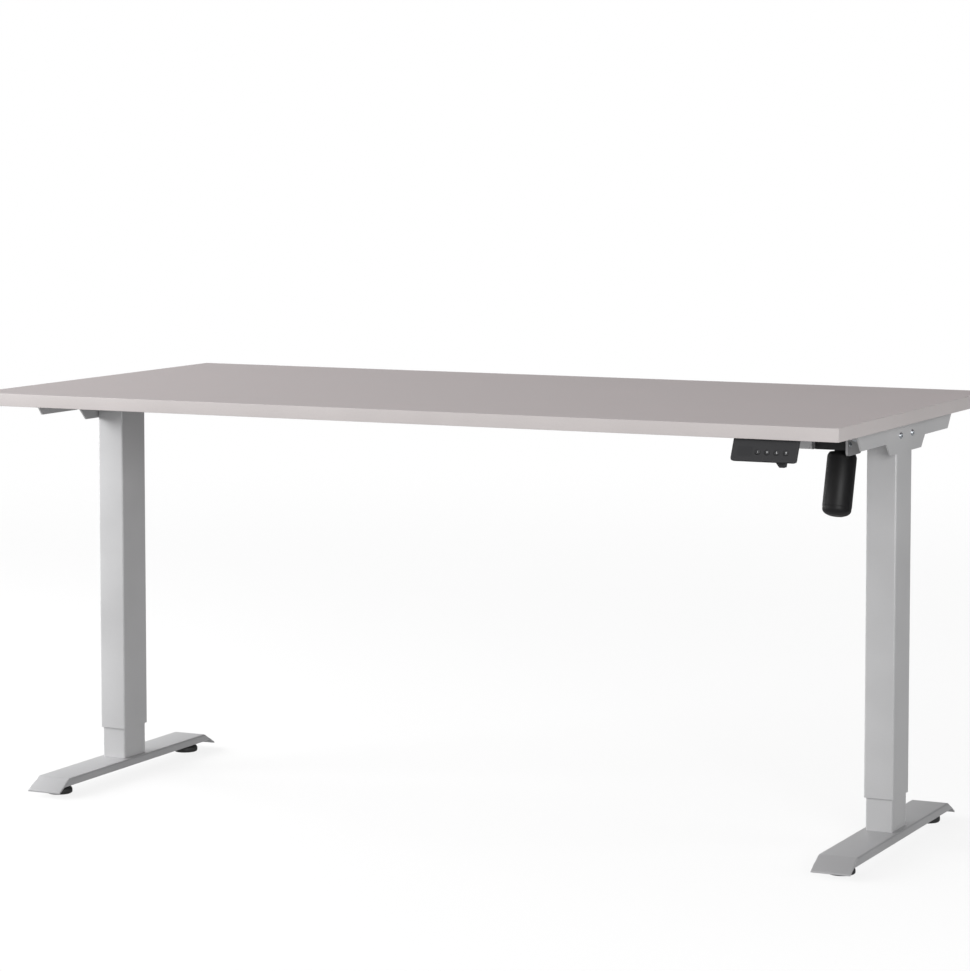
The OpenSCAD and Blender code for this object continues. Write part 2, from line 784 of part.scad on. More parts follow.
module control_box_lid() {
    color("dimgray") {
        block([box_x0, box_y0, under_z - box_h], [box_x0 + box_w, box_y0 + box_d, under_z - box_h + 4]);
        block([box_x0 + box_wall + 0.2, box_y0 + box_wall + 0.2, under_z - box_h + 4],
              [box_x0 + box_w - box_wall - 0.2, box_y0 + box_wall + 2.2, under_z - box_h + 8]);
        block([box_x0 + box_wall + 0.2, box_y0 + box_d - box_wall - 2.2, under_z - box_h + 4],
              [box_x0 + box_w - box_wall - 0.2, box_y0 + box_d - box_wall - 0.2, under_z - box_h + 8]);
    }
}

// Circuit board on four pillars, with its transformer and two relays
module control_board() {
    board_z = under_z - 14;
    color("darkgreen") {
        block([box_x0 + 10, box_y0 + 8, board_z], [box_x0 + 205, box_y0 + box_d - 8, board_z + 1.6]);
        for (x = [box_x0 + 16, box_x0 + 199], y = [box_y0 + 14, box_y0 + box_d - 14])
            translate([x, y, board_z + 1.6]) cylinder(h = under_z - box_wall - board_z - 1.6, r = 4);
        block([box_x0 + 30, box_y0 + 20, board_z - 20], [box_x0 + 75, box_y0 + 65, board_z]);
        for (x = [box_x0 + 110, box_x0 + 140])
            block([x, box_y0 + 25, board_z - 14], [x + 20, box_y0 + 40, board_z]);
    }
}

// Three-pin mains inlet in the end wall of the control box, facing +X
module power_inlet() {
    x1 = box_x0 + box_w;
    color("black") {
        difference() {
            union() {
                block([x1 - 24, box_y0 + 20, under_z - 31], [x1, box_y0 + 49, under_z - 9]);
                block([x1, box_y0 + 14, under_z - 34], [x1 + 2, box_y0 + 55, under_z - 6]);
            }
            block([x1 - 16, box_y0 + 22.5, under_z - 28], [x1 + 2 + cut, box_y0 + 46.5, under_z - 12]);
        }
        for (p = [[27.5, -23], [34.5, -17], [41.5, -23]])
            block([x1 - 16, box_y0 + p[0] - 2, under_z + p[1] - 1],
                  [x1 - 2, box_y0 + p[0] + 2, under_z + p[1] + 1]);
    }
}

// ---------- Feet ----------

// Side view of the foot's outside, in Y and Z: the lips are level, and each end slopes on down past them
module foot_outline() {
    half = foot_len / 2;
    edge_z = foot_tip + foot_sheet / cos(foot_end_angle);
    fold_y = half - (foot_top - edge_z) / tan(foot_end_angle);
    polygon([
        [-half, foot_tip], [-half, edge_z], [-fold_y, foot_top], [fold_y, foot_top],
        [half, edge_z], [half, foot_tip], [foot_lip_end, foot_lip_z], [-foot_lip_end, foot_lip_z]
    ]);
}

// Side view of the hollow under the foot, one sheet thickness inside the outline
module foot_hollow() {
    high_z = foot_top - foot_sheet;
    high_y = foot_len / 2 - (high_z - foot_tip) / tan(foot_end_angle);
    polygon([
        [-foot_lip_end, 0], [-foot_lip_end, foot_lip_z], [-high_y, high_z],
        [high_y, high_z], [foot_lip_end, foot_lip_z], [foot_lip_end, 0]
    ]);
}

module foot(side) {
    color(steel_grey) difference() {
        union() {
            difference() {
                translate([side * column_x - foot_w / 2, 0, 0]) rotate([90, 0, 90])
                    linear_extrude(foot_w) foot_outline();
                translate([side * column_x - foot_w / 2 + foot_sheet, 0, 0]) rotate([90, 0, 90])
                    linear_extrude(foot_w - 2 * foot_sheet) foot_hollow();
            }
            // Weld nuts that take the stems of the glides
            for (s = [-1, 1])
                translate([side * column_x, s * glide_y, foot_top - foot_sheet - glide_nut_h])
                    cylinder(h = glide_nut_h, r = 7.5, $fn = 6);
        }
        for (s = [-1, 1])
            translate([side * column_x, s * glide_y, 0])
                cylinder(h = foot_top - foot_sheet, r = m8_r + run);
        at_foot_bolts(side) translate([0, 0, foot_top - 10]) cylinder(h = 20, r = m8_r + 0.2);
    }
}

module at_foot_bolts(side) {
    for (sx = [-1, 1], sy = [-1, 1])
        translate([side * column_x + sx * foot_bolt_x, sy * foot_bolt_y, 0]) children();
}

// Steel plug welded into the foot of the inner tube, threaded for the foot's bolts
module base_plug(side) {
    color(zinc) difference() {
        translate([side * column_x, 0, foot_top]) linear_extrude(plug_h)
            rounded_rect(inner_w - 2 * tube_wall, inner_d - 2 * tube_wall, tube_r - tube_wall);
        at_foot_bolts(side) translate([0, 0, foot_top - cut]) cylinder(h = plug_h + 2 * cut, r = m8_r);
    }
}

module foot_bolts(side) {
    color(zinc) at_foot_bolts(side) {
        translate([0, 0, foot_top - foot_sheet - 5]) cylinder(h = 5, r = 7, $fn = 6);
        translate([0, 0, foot_top - foot_sheet]) cylinder(h = foot_sheet + plug_h, r = m8_r);
    }
}

// Levelling glide: a plastic pad moulded round a threaded stem
module glide(side, s) {
    color(black_plastic) translate([side * column_x, s * glide_y, 0]) {
        cylinder(h = 1.5, r1 = glide_d / 2 - 1.5, r2 = glide_d / 2);
        translate([0, 0, 1.5]) cylinder(h = 8, r = glide_d / 2);
        translate([0, 0, 9.5]) cylinder(h = 3, r1 = glide_d / 2, r2 = glide_d / 2 - 4);
        translate([0, 0, 12.5]) cylinder(h = 3, r = 8);
        translate([0, 0, 15.5]) cylinder(h = glide_stem_top - 15.5, r = m8_r);
    }
}

desktop_board();
desktop_edge_band();
desktop_screws();
side_bracket(-1);  // left_side_bracket
side_bracket(1);  // right_side_bracket
frame_screws();
rail_sleeve(-rail_y);  // front_rail_sleeve
rail_sleeve(rail_y);  // rear_rail_sleeve
side_rails(-1);  // left_rails
side_rails(1);  // right_rails
outer_tube(-1);  // left_outer_tube
outer_tube(1);  // right_outer_tube
lower_guide(-1);  // left_lower_guide
lower_guide(1);  // right_lower_guide
gear_housing(-1);  // left_gear_housing
gear_housing(1);  // right_gear_housing
screw_bearing(-1);  // left_screw_bearing
screw_bearing(1);  // right_screw_bearing
motor_bracket();
motor_gear_case();
motor_gear_cover();
motor_can();
motor_end_cap();
motor_screws();
handset_case();
handset_panel();
handset_socket();
control_box_base();
control_box_lid();
control_board();
power_inlet();
drive_shaft();
shaft_gear(-1);  // left_shaft_gear
shaft_gear(1);  // right_shaft_gear
worm_wheel();
motor_worm();
lift_screw(-1);  // left_lift_screw
lift_screw(1);  // right_lift_screw
screw_gear(-1);  // left_screw_gear
screw_gear(1);  // right_screw_gear
inner_tube(-1);  // left_inner_tube
inner_tube(1);  // right_inner_tube
upper_guide(-1);  // left_upper_guide
upper_guide(1);  // right_upper_guide
lift_nut(-1);  // left_lift_nut
lift_nut(1);  // right_lift_nut
foot(-1);  // left_foot
foot(1);  // right_foot
base_plug(-1);  // left_base_plug
base_plug(1);  // right_base_plug
foot_bolts(-1);  // left_foot_bolts
foot_bolts(1);  // right_foot_bolts
button(0);  // memory_one_button
button(1);  // memory_two_button
button(2);  // down_button
button(3);  // up_button
glide(-1, -1);  // left_front_glide
glide(-1, 1);  // left_rear_glide
glide(1, -1);  // right_front_glide
glide(1, 1);  // right_rear_glide
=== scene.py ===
"""Looks of the height adjustable desk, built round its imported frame.

Pieces are worked out in millimetres in the frame's own axes: origin on the floor
under the middle of the desk, +X to the right, +Z up, the user on the -Y side.
"""

import json
import math

import bmesh
import bpy
import numpy as np
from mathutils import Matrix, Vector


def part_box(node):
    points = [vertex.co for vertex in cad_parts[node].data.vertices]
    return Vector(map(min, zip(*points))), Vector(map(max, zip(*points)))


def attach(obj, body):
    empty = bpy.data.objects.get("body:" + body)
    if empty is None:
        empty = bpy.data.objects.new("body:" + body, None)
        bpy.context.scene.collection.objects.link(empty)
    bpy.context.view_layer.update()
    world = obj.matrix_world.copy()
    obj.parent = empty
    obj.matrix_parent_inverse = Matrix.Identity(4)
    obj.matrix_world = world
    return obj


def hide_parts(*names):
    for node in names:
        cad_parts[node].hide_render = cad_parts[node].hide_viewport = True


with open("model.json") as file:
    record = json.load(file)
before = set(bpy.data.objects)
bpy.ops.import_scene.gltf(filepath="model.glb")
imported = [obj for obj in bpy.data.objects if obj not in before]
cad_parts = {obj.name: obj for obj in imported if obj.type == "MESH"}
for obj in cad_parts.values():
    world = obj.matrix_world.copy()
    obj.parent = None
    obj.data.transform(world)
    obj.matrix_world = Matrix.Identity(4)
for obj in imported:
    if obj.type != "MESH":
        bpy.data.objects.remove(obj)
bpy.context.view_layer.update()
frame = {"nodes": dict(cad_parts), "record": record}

MM = 0.001
# Points closer than this are one point, in metres
WELD = 1e-6
# Edges turned by more degrees than this stay crisp
CREASE = 32.0
NODES = frame["nodes"]
BODY_OF = {n: b for b, names in frame["record"]["behaviour"]["bodies"].items() for n in names}
SLOT_OF = {n: o.material_slots[0].material.name.split(".")[0] for n, o in NODES.items()}


# ---------- Materials ----------

def colour(code):
    """An sRGB hex value, such as "C8C9CA", as linear red, green, blue and alpha."""
    srgb = np.array([int(code[i:i + 2], 16) for i in (0, 2, 4)]) / 255
    linear = np.where(srgb <= 0.04045, srgb / 12.92, ((srgb + 0.055) / 1.055) ** 2.4)
    return (*linear.tolist(), 1.0)


def node(tree, kind, inputs=None, **settings):
    """Adds one node: settings are its properties, and each input takes a value or another node's output."""
    made = tree.nodes.new(kind)
    for name, value in settings.items():
        setattr(made, name, value)
    for socket, value in (inputs or {}).items():
        if isinstance(value, bpy.types.NodeSocket):
            tree.links.new(value, made.inputs[socket])
        else:
            made.inputs[socket].default_value = value
    return made


def material(name):
    """An empty node material with its output and its Object coordinates, in metres."""
    made = bpy.data.materials.new(name)
    made.use_nodes = True
    tree = made.node_tree
    tree.nodes.clear()
    out = node(tree, "ShaderNodeOutputMaterial")
    place = node(tree, "ShaderNodeTexCoord").outputs["Object"]
    return made, tree, out, place


def per_mm(size):
    """Texture scale for features of that size in millimetres, on coordinates in metres."""
    return 1000.0 / size


# How far a finish's roughness wanders to each side of its middle
WANDER = 0.04


def surface(name, tones, grain, relief, roughness, patches=60.0, metallic=0.0, specular=0.5):
    """A finish whose colour moves between two tones with its grain and with wide soft patches, whose
    roughness wanders, and whose relief is a list of (feature size in mm, height in mm)."""
    made, tree, out, place = material(name)
    fine = node(tree, "ShaderNodeTexNoise", {"Vector": place, "Scale": per_mm(grain), "Detail": 3.0,
                                             "Roughness": 0.6})
    broad = node(tree, "ShaderNodeTexNoise", {"Vector": place, "Scale": per_mm(patches), "Detail": 2.0,
                                              "Roughness": 0.5})
    both = node(tree, "ShaderNodeMath", {0: fine.outputs["Fac"], 1: broad.outputs["Fac"]}, operation="ADD")
    share = node(tree, "ShaderNodeMapRange", {"Value": both.outputs[0], "From Min": 0.65, "From Max": 1.35})
    mix = node(tree, "ShaderNodeMix", {0: share.outputs["Result"], 6: colour(tones[0]), 7: colour(tones[1])},
               data_type="RGBA")
    rough = node(tree, "ShaderNodeMapRange", {"Value": broad.outputs["Fac"], "From Min": 0.3, "From Max": 0.7,
                                              "To Min": roughness - WANDER, "To Max": roughness + WANDER})
    normal = None
    for size, height in relief:
        wave = node(tree, "ShaderNodeTexNoise", {"Vector": place, "Scale": per_mm(size), "Detail": 1.0,
                                                 "Roughness": 0.4})
        inputs = {"Height": wave.outputs["Fac"], "Strength": 1.0, "Distance": height * MM}
        if normal is not None:
            inputs["Normal"] = normal
        normal = node(tree, "ShaderNodeBump", inputs).outputs["Normal"]
    shader = node(tree, "ShaderNodeBsdfPrincipled", {"Base Color": mix.outputs[2],
                                                     "Roughness": rough.outputs["Result"],
                                                     "Normal": normal, "Metallic": metallic,
                                                     "Specular IOR Level": specular})
    tree.links.new(shader.outputs[0], out.inputs["Surface"])
    return made


# Melamine-faced chipboard, pressed against a fine pearl plate: a warm grey, satin face with shallow dimples
# about 1.2 mm across, and a paper print that is a hair uneven over a hand's breadth
melamine = surface("warm_grey_melamine", ("B2A9A9", "BBB2B2"), 0.8, [(1.2, 0.010), (5.0, 0.012)], 0.52,
                   patches=90.0, specular=0.28)
# ABS edge band, extruded and planed flush: the same grey, smoother than the board's face
band_abs = surface("warm_grey_abs_band", ("BDB7B6", "C4BEBD"), 1.5, [(2.5, 0.006)], 0.42, patches=120.0,
                   specular=0.40)
# Polyester powder coat with aluminium flake, baked on folded steel: silver grey, an orange-peel skin about
# 2 mm across, and flake glitter far finer than the render shows, so it is drawn at 0.6 mm
powder = surface("silver_powder_coat", ("BBBBBC", "CACACB"), 0.6, [(2.0, 0.012), (0.7, 0.003)], 0.42,
                 metallic=0.3, patches=150.0)
# The same coat on the feet, drawn darker than on the columns as painted shade: the darker tones stand in for
# the desktop's shadow falling over the feet
foot_coat_painted_shade = surface("silver_powder_coat_feet_painted_shade", ("A9A9AA", "B7B7B9"), 0.6, [(2.0, 0.012), (0.7, 0.003)], 0.42,
                    metallic=0.3, patches=150.0)
# Zinc plating on steel, passivated: pale blue-grey metal with faint clouding
zinc = surface("zinc_plate", ("B6BCC2", "D0D4D8"), 0.9, [(0.8, 0.002)], 0.28, metallic=1.0, patches=8.0)
# Ground and oiled steel: darker bright metal
ground_steel = surface("ground_steel", ("9A9DA0", "B5B8BA"), 0.4, [(0.5, 0.002)], 0.30, metallic=1.0,
                       patches=12.0)
# Die-cast aluminium as it comes from the mould: dull grey with a slightly crusty skin
cast = surface("die_cast_aluminium", ("8C8F92", "A3A6A8"), 0.8, [(1.2, 0.03)], 0.55, metallic=0.9,
               patches=15.0)
# Acetal, moulded: black for slides, natural white for gears and nuts
slide_acetal = surface("black_acetal", ("1B1B1C", "232324"), 0.6, [(0.9, 0.004)], 0.42, patches=25.0)
gear_acetal = surface("natural_acetal", ("DCDACF", "E6E4DA"), 0.8, [(0.9, 0.004)], 0.38, patches=12.0)
# Glass-filled nylon, moulded: black with pale fibre blush on its skin
nylon = surface("black_glass_filled_nylon", ("161617", "232325"), 0.7, [(0.9, 0.010)], 0.55, patches=18.0)
# Satin enamel sprayed on a drawn steel can: near black with an even, fine skin
enamel = surface("satin_black_enamel", ("161617", "1C1C1D"), 1.0, [(1.6, 0.006)], 0.48, patches=35.0,
                 specular=0.3)
# ABS moulded in a spark-eroded tool: charcoal with a fine matt grain, drawn at 0.7 mm
abs_grain = surface("charcoal_abs_fine_grain", ("252527", "2C2C2E"), 0.5, [(0.7, 0.012)], 0.58, patches=30.0,
                    specular=0.35)
box_abs = surface("black_abs_fine_grain", ("232325", "2B2B2D"), 0.5, [(0.8, 0.014)], 0.60, patches=40.0)
# Polyethylene, moulded: black and waxy
glide_pe = surface("black_polyethylene", ("202021", "2A2A2B"), 0.8, [(1.2, 0.010)], 0.50, patches=12.0)
# Epoxy solder mask over copper: green, glossy
solder_mask = surface("green_solder_mask", ("0D4A2B", "14603A"), 1.2, [(1.0, 0.006)], 0.32, patches=10.0)
# Screen-printed ink: off-white, matt
ink = surface("pale_printed_ink", ("A9AAAB", "B6B7B8"), 0.5, [(0.6, 0.002)], 0.55, patches=5.0)


def panel_finish(name, low, high, tilt):
    """Hard-coated acrylic panel: satin all over, with a slightly smoother and darker display window
    between two corners given in X and in distance up the face, in millimetres."""
    made, tree, out, place = material(name)
    turned = node(tree, "ShaderNodeMapping", {"Vector": place, "Rotation": (tilt, 0.0, 0.0)})
    apart = node(tree, "ShaderNodeSeparateXYZ", {"Vector": turned.outputs["Vector"]})
    inside = None
    for axis, near, far in (("X", low[0], high[0]), ("Z", low[1], high[1])):
        for value, kind in ((near, "GREATER_THAN"), (far, "LESS_THAN")):
            test = node(tree, "ShaderNodeMath", {0: apart.outputs[axis], 1: value * MM}, operation=kind)
            inside = test.outputs[0] if inside is None else node(
                tree, "ShaderNodeMath", {0: inside, 1: test.outputs[0]}, operation="MULTIPLY").outputs[0]
    haze = node(tree, "ShaderNodeTexNoise", {"Vector": place, "Scale": per_mm(0.7), "Detail": 2.0})
    mix = node(tree, "ShaderNodeMix", {0: inside, 6: colour("28282A"), 7: colour("252527")}, data_type="RGBA")
    rough = node(tree, "ShaderNodeMapRange", {"Value": inside, "To Min": 0.50, "To Max": 0.40})
    bump = node(tree, "ShaderNodeBump", {"Height": haze.outputs["Fac"], "Strength": 1.0,
                                         "Distance": 0.004 * MM})
    shader = node(tree, "ShaderNodeBsdfPrincipled", {"Base Color": mix.outputs[2],
                                                     "Roughness": rough.outputs["Result"],
                                                     "Normal": bump.outputs["Normal"],
                                                     "Specular IOR Level": 0.35})
    tree.links.new(shader.outputs[0], out.inputs["Surface"])
    return made


FINISH = {"melamine_board": melamine, "edge_band": band_abs, "frame_paint": powder, "zinc_screws": zinc,
          "bright_steel": ground_steel, "cast_housing": cast, "slide_plastic": slide_acetal,
          "gear_plastic": gear_acetal, "gearcase_plastic": nylon, "motor_black": enamel,
          "handset_plastic": abs_grain, "handset_gloss": abs_grain, "button_plastic": abs_grain,
          "box_plastic": box_abs, "circuit_board": solder_mask, "glide_plastic": glide_pe}
for name, cad in NODES.items():
    cad.material_slots[0].material = FINISH[SLOT_OF[name]]


# ---------- Surfaces ----------

def skin(grid, closed_rows=False):
    """Faces over a grid of rings: quads between each ring and the next, and a flat face over the first
    and the last ring unless the rings themselves close on each other."""
    rows, cols = grid.shape[:2]
    r = np.arange(rows if closed_rows else rows - 1)[:, None]
    c = np.arange(cols)[None, :]
    up, on = (r + 1) % rows, (c + 1) % cols
    quads = np.stack([r * cols + c, r * cols + on, up * cols + on, up * cols + c], -1).reshape(-1, 4).tolist()
    if not closed_rows:
        quads += [list(range(cols))[::-1], list(range((rows - 1) * cols, rows * cols))]
    return grid.reshape(-1, 3), quads


def joined(*shapes):
    """Several shapes as one: their points end to end, with each one's faces counted on."""
    starts = np.cumsum([0] + [len(p) for p, _ in shapes])
    return (np.concatenate([p for p, _ in shapes]),
            [[i + int(s) for i in f] for s, (_, faces) in zip(starts, shapes) for f in faces])


def moved(shape, offset=(0, 0, 0), turn=None):
    """A shape turned by a 3 x 3 matrix, then shifted."""
    points, faces = shape
    if turn is not None:
        points = points @ np.asarray(turn, float).T
    return points + np.asarray(offset, float), faces


def turn_x(degrees):
    """Rotation about X."""
    c, s = math.cos(math.radians(degrees)), math.sin(math.radians(degrees))
    return np.array([[1, 0, 0], [0, c, -s], [0, s, c]])


def facing(axis):
    """A rotation that takes +Z to the given unit axis along X or Z."""
    x, _, z = axis
    return np.array([[abs(z), 0, x], [0, 1 if z >= 0 else -1, 0], [-x, 0, z]], float)


def eased(corners, reach, steps=4):
    """The line through the corners with each inner corner replaced by a parabola that touches both of its
    sides at the given distance from the corner, or at under half of the shorter side."""
    corners = np.asarray(corners, float)
    reach = np.broadcast_to(reach, len(corners))
    t = np.linspace(0, 1, steps + 1)[:, None]
    line = [corners[:1]]
    for a, b, c, d in zip(corners[:-2], corners[1:-1], corners[2:], reach[1:-1]):
        before, after = np.linalg.norm(a - b), np.linalg.norm(c - b)
        d = min(d, 0.48 * before, 0.48 * after)
        p, q = b + (a - b) / before * d, b + (c - b) / after * d
        line.append((1 - t) ** 2 * p + 2 * t * (1 - t) * b + t ** 2 * q)
    return np.concatenate([*line, corners[-1:]])


def lathe(profile, count=48, hexed=None, flutes=0, depth=0.0):
    """A profile of radius and height carried round the Z axis. Where hexed is 1 the ring is a hexagon with
    that radius at its corners, the radius times cos 30 over the cosine of the angle to the nearest flat's
    middle; flutes is a number of shallow waves round it, each that deep."""
    profile = np.asarray(profile, float)
    angle = np.arange(count) * 2 * np.pi / count
    flat = math.cos(math.pi / 6) / np.cos(np.mod(angle, math.pi / 3) - math.pi / 6)
    share = np.zeros(len(profile)) if hexed is None else np.asarray(hexed, float)
    radius = profile[:, :1] * (1 + share[:, None] * (flat - 1)[None, :])
    if flutes:
        wave = depth * (0.5 - 0.5 * np.cos(flutes * angle))[None, :]
        radius = radius - wave * (profile[:, :1] > profile[:, 0].max() - 0.6)
    grid = np.stack([radius * np.cos(angle), radius * np.sin(angle),
                     np.broadcast_to(profile[:, 1:], radius.shape)], -1)
    return skin(grid)


def frames(rings, corner):
    """Rounded rectangles stacked as rings: each ring is (half width, half depth, corner radius, height), and
    its points run round four quarter circles."""
    rings = np.asarray(rings, float)
    quarter = np.linspace(0, np.pi / 2, corner + 1)
    angle = np.concatenate([quarter + k * np.pi / 2 for k in range(4)])
    sx = np.repeat([1, -1, -1, 1], corner + 1)
    sy = np.repeat([1, 1, -1, -1], corner + 1)
    half_x, half_y, r, z = (rings[:, i:i + 1] for i in range(4))
    x = sx * (half_x - r) + r * np.cos(angle)
    y = sy * (half_y - r) + r * np.sin(angle)
    return np.stack([x, y, np.broadcast_to(z, x.shape)], -1)


def slab(outline, thick):
    """A flat outline in X and Z, given thickness along -Y, as a print or a small plate."""
    outline = np.asarray(outline, float)
    front = np.stack([outline[:, 0], np.full(len(outline), -thick), outline[:, 1]], -1)
    back = front * (1, 0, 1)
    return skin(np.stack([back, front]))


def piece(name, shape, finish, body, stands_for=(), bevel=0.0, crease=CREASE):
    """Makes the mesh: merges doubles, turns the normals outward, keeps edges sharper than the crease angle
    crisp, eases edges by the bevel in millimetres, and hangs the piece on its CAD body."""
    points, faces = shape
    mesh = bpy.data.meshes.new(name)
    mesh.from_pydata((points * MM).tolist(), [], faces)
    bm = bmesh.new()
    bm.from_mesh(mesh)
    bmesh.ops.remove_doubles(bm, verts=bm.verts, dist=WELD)
    bmesh.ops.recalc_face_normals(bm, faces=bm.faces)
    bm.to_mesh(mesh)
    bm.free()
    return finished(name, mesh, finish, body, stands_for, bevel, crease)


def finished(name, mesh, finish, body, stands_for, bevel, crease, segments=2):
    """Shading, bevel, material, body, slot and the CAD nodes that a mesh stands for."""
    mesh.polygons.foreach_set("use_smooth", np.ones(len(mesh.polygons), bool))
    mesh.set_sharp_from_angle(angle=math.radians(crease))
    mesh.materials.clear()
    mesh.materials.append(finish)
    made = bpy.data.objects.new(name, mesh)
    bpy.context.scene.collection.objects.link(made)
    if bevel:
        ease = made.modifiers.new("eased_edges", "BEVEL")
        ease.width = bevel * MM
        ease.segments = segments
        ease.limit_method = "ANGLE"
        ease.angle_limit = math.radians(crease)
        ease.harden_normals = True
        ease.use_clamp_overlap = True
    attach(made, body)
    if stands_for:
        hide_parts(*stands_for)
    return made


def eased_copy(cad_name, name, bevel, segments=2, finish=None):
    """A CAD solid with its sharp edges broken as a press, a mould or a deburring wheel leaves them: a merged
    copy of its mesh, its flat faces made whole, with a bevel on every edge sharper than the crease angle."""
    mesh = NODES[cad_name].data.copy()
    mesh.name = name
    bm = bmesh.new()
    bm.from_mesh(mesh)
    bmesh.ops.remove_doubles(bm, verts=bm.verts, dist=WELD)
    bmesh.ops.dissolve_limit(bm, angle_limit=math.radians(0.6), verts=bm.verts, edges=bm.edges)
    bm.to_mesh(mesh)
    bm.free()
    slot = SLOT_OF[cad_name]
    return finished(name, mesh, finish or FINISH[slot], BODY_OF[cad_name], [cad_name], bevel, CREASE,
                    segments)


def span(name):
    """Lowest and highest corner of a CAD node, in millimetres."""
    low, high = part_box(name)
    return np.array(low) / MM, np.array(high) / MM


# ---------- Desktop ----------

# Thickness of the edge band, and how far its outer edges are rounded
BAND, BAND_EASE = 2.0, 1.5
top_low, top_high = span("desktop_edge_band")
HALF_X, HALF_Y, UNDER, TOP = top_high[0], top_high[1], top_low[2], top_high[2]


def board():
    """The slab inside the edge band, its rim broken by 0.15 mm, so that a hairline shows at the joint."""
    hair = 0.15
    rings = [(HALF_X - BAND - d, HALF_Y - BAND - d, 0.3, z)
             for d, z in ((hair, UNDER), (0, UNDER + hair), (0, TOP - hair), (hair, TOP))]
    return skin(frames(rings, 2))


def edge_band():
    """The band's section carried round the board: outer corners rounded, inner edge flush."""
    section = eased([(-BAND, UNDER), (0, UNDER), (0, TOP), (-BAND, TOP)], BAND_EASE, 5)
    rings = [(HALF_X + d, HALF_Y + d, max(BAND + d, 0.2), z) for d, z in section]
    return skin(frames(rings, 5), closed_rows=True)


piece("desktop_board_faced", board(), melamine, "desk_top", ["desktop_board"])
piece("edge_band_rounded", edge_band(), band_abs, "desk_top", ["desktop_edge_band"], crease=50)


# ---------- Frame ----------

for cad_name, width in (("left_side_bracket", 0.7), ("right_side_bracket", 0.7), ("front_rail_sleeve", 0.4),
                        ("rear_rail_sleeve", 0.4), ("left_rails", 0.4), ("right_rails", 0.4),
                        ("left_outer_tube", 0.4), ("right_outer_tube", 0.4), ("left_inner_tube", 0.3),
                        ("right_inner_tube", 0.3), ("motor_bracket", 0.6)):
    eased_copy(cad_name, cad_name + "_eased", width)


# Feet: depth of the side lips, sheet thickness, pitch of the end flaps in degrees, outer radius of the
# long folds, softness of the end folds, and each glide's distance from the middle
FOOT_LIP, FOOT_SHEET, FOOT_PITCH = 13.5, 2.5, 30.0
FOOT_FOLD, FOOT_BLEND, GLIDE_Y = 3.2, 2.0, 222.0
WELD_NUT = 9.0


def foot(side):
    """A folded channel: a section of outer and inner skin carried from tip to tip. The top's height is the
    smooth lesser of the flat and the end slope, blended over the fold; the side lips hang to one level, or
    only a sheet's thickness where the slope has come below it."""
    low, high = span(side + "_foot")
    half_x, half_y = (high[0] - low[0]) / 2, (high[1] - low[1]) / 2
    middle = (high[0] + low[0]) / 2
    flat, tip, lip, sheet, fold, blend = high[2], low[2], FOOT_LIP, FOOT_SHEET, FOOT_FOLD, FOOT_BLEND
    pitch = math.tan(math.radians(FOOT_PITCH))
    edge_z = tip + sheet * math.sqrt(1 + pitch ** 2)
    fold_y = half_y - (flat - edge_z) / pitch
    end = np.concatenate([np.linspace(half_y, fold_y + 6, 12), np.linspace(fold_y + 5, fold_y - 5, 21)])
    y = np.concatenate([-end, np.linspace(30 - fold_y, fold_y - 30, 9), end[::-1]])
    slope = edge_z + (half_y - abs(y)) * pitch
    h = np.clip(0.5 + 0.5 * (slope - flat) / blend, 0, 1)
    top = slope * (1 - h) + flat * h - blend * h * (1 - h)
    under = top - sheet * np.sqrt(1 + np.gradient(top, y) ** 2)
    bottom = np.minimum(flat - lip, under)
    bend = np.linspace(0, np.pi / 2, 7)

    def edge(x0, ceiling, radius):
        """From the lip's lower end up and over the fold, on the -X side."""
        r = np.minimum(radius, 0.5 * (ceiling - bottom))[:, None]
        wall = np.stack([np.full_like(y, x0), bottom], -1)[:, None]
        arc = np.stack([x0 + r * (1 - np.cos(bend)), ceiling[:, None] - r + r * np.sin(bend)], -1)
        return np.concatenate([wall, arc], 1)

    outer = edge(-half_x, top, fold)
    inner = edge(-half_x + sheet, under, fold - sheet)
    mirror = np.array([-1, 1])
    section = np.concatenate([outer, outer[:, ::-1] * mirror, inner * mirror, inner[:, ::-1]], 1)
    grid = np.stack([section[..., 0] + middle, np.broadcast_to(y[:, None], section.shape[:2]),
                     section[..., 1]], -1)
    nut = lathe([(0, 0), (7.0, 0), (7.5, 0.5), (7.5, 8.9), (0, 8.9)], 48, [0, 1, 1, 1, 0])
    nuts = [moved(nut, (middle, s * GLIDE_Y, flat - sheet - WELD_NUT)) for s in (-1, 1)]
    return joined(skin(grid), *nuts)


# The feet wear the darker coat, whose darkness is painted shade from the desktop's shadow
for side, body in (("left", "left_base"), ("right", "right_base")):
    piece(side + "_foot_folded", foot(side), foot_coat_painted_shade, body, [side + "_foot"], bevel=0.3,
          crease=40)


# ---------- Screws ----------

def button_head(radius, height, shank, length, socket):
    """A round head with a hexagonal socket on a plain shank: the dome's height falls with the square of
    the radius, and the socket's rings are hexagons."""
    r = np.linspace(socket * 1.25, radius, 7)
    dome = np.stack([r, height * (1 - 0.85 * ((r - r[0]) / (radius - r[0])) ** 2)], -1)
    key = [(0, height * 0.35), (socket, height * 0.3), (socket, height * 0.93), (socket * 1.08, height)]
    rest = [(radius, 0), (shank, 0), (shank, -length), (0, -length)]
    profile = np.concatenate([key, dome, rest])
    hexed = np.concatenate([[0, 1, 1, 1], np.zeros(len(dome) + len(rest))])
    return lathe(profile, 36, hexed)


